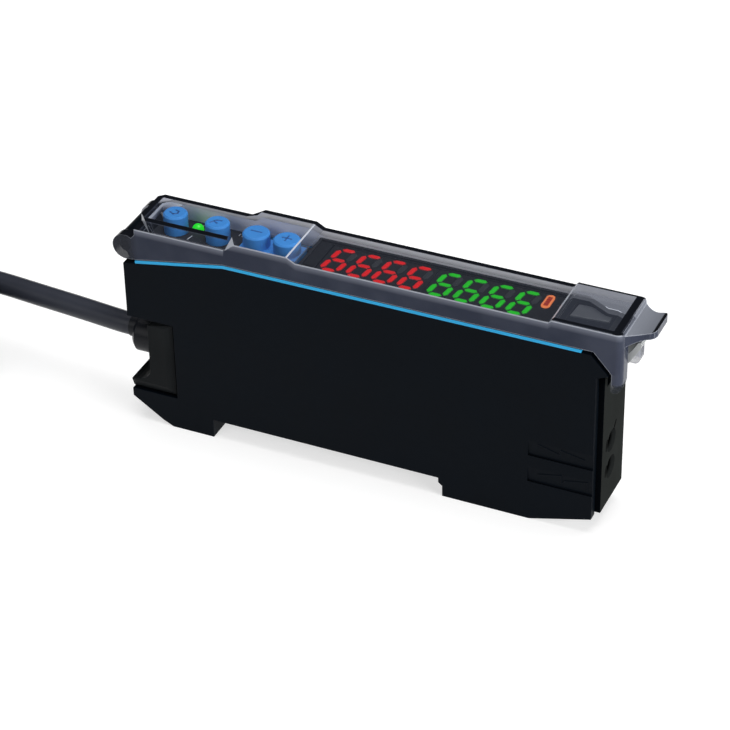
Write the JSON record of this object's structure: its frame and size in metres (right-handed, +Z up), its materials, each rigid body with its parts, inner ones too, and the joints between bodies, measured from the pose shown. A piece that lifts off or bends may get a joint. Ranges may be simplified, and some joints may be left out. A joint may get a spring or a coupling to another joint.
{
  "type": "fibre optic sensor amplifier",
  "caption": "Slim rail-mounted fibre optic sensor amplifier with a hinged smoke dust cover, digital display, push buttons, a fibre lock lever and a lead-out cable.",
  "frame": {"origin": "middle of the amplifier's footprint, on the plane of its two feet", "axes": "+X along the case from the cable end to the fibre ports, +Y across its width from the open side plate to the far wall, +Z up to the dust cover"},
  "size_m": [0.1978, 0.0312, 0.034],
  "materials": {
    "black_case": "satin moulded",
    "dark_block": "satin moulded",
    "clear_resin": "clear",
    "dark_resin": "gloss",
    "grip_rubber": "matt",
    "grey_lever": "satin",
    "pin_steel": "ground",
    "board": "solder mask",
    "black_panel": "fine texture",
    "smoke_window": "gloss",
    "reflector": "matt",
    "red_light": "lit",
    "green_light": "lit",
    "unlit": "matt",
    "orange_light": "lit",
    "green_lamp": "lit",
    "blue_button": "satin",
    "switch_metal": "plated",
    "smoke_cover": "clear gloss",
    "blue_trim": "gloss",
    "cable_black": "satin sheath",
    "tie_nylon": "satin",
    "core_brown": "satin",
    "core_blue": "satin",
    "core_black": "satin",
    "core_white": "satin"
  },
  "bodies": {
    "case": {"case_body": "black_case", "side_cover": "black_case", "end_block": "dark_block", "optic_holder": "dark_block", "emitter": "clear_resin", "receiver": "dark_resin", "fibre_grip": "grip_rubber", "lever_pin": "pin_steel", "main_board": "board", "display_board": "board", "board_header": "dark_block", "top_bezel": "black_panel", "display_window": "smoke_window", "red_display": "reflector", "green_display": "reflector", "red_segments": "red_light", "green_segments": "green_light", "unlit_segments": "unlit", "output_lamp": "orange_light", "status_lamp": "green_lamp", "status_source": "clear_resin", "set_switch": "switch_metal", "mode_switch": "switch_metal", "down_switch": "switch_metal", "up_switch": "switch_metal", "near_trim": "blue_trim", "far_trim": "blue_trim", "cable_clamp": "black_case", "cable_bush": "cable_black", "cable": "cable_black", "cable_coil": "cable_black", "cable_tie": "tie_nylon", "cable_tail": "cable_black", "core_brown": "core_brown", "core_blue": "core_blue", "core_black": "core_black", "core_white": "core_white"},
    "cover": {"dust_cover": "smoke_cover"},
    "lever": {"lock_lever": "grey_lever"},
    "set": {"set_button": "blue_button"},
    "mode": {"mode_button": "blue_button"},
    "rocker": {"value_rocker": "blue_button"}
  },
  "joints": [
    {"name": "cover_swing", "type": "hinge", "parent": "case", "child": "cover", "pos_m": [-0.0375, 0, 0.0295], "axis": [0, -1, 0], "range_deg": [0, 110]},
    {"name": "lever_turn", "type": "hinge", "parent": "case", "child": "lever", "pos_m": [0.0302, 0, 0.0274], "axis": [0, 1, 0], "range_deg": [0, 30]},
    {"name": "set_press", "type": "slide", "parent": "case", "child": "set", "axis": [0, 0, -1], "range_m": [0, 0.0004], "stiffness_N_per_m": 200},
    {"name": "mode_press", "type": "slide", "parent": "case", "child": "mode", "axis": [0, 0, -1], "range_m": [0, 0.0004], "stiffness_N_per_m": 200},
    {"name": "rocker_tilt", "type": "hinge", "parent": "case", "child": "rocker", "pos_m": [-0.0175, 0.0011, 0.02925], "axis": [0, 1, 0], "range_deg": [-3.5, 3.5], "stiffness_Nm_per_rad": 0.004}
  ]
}
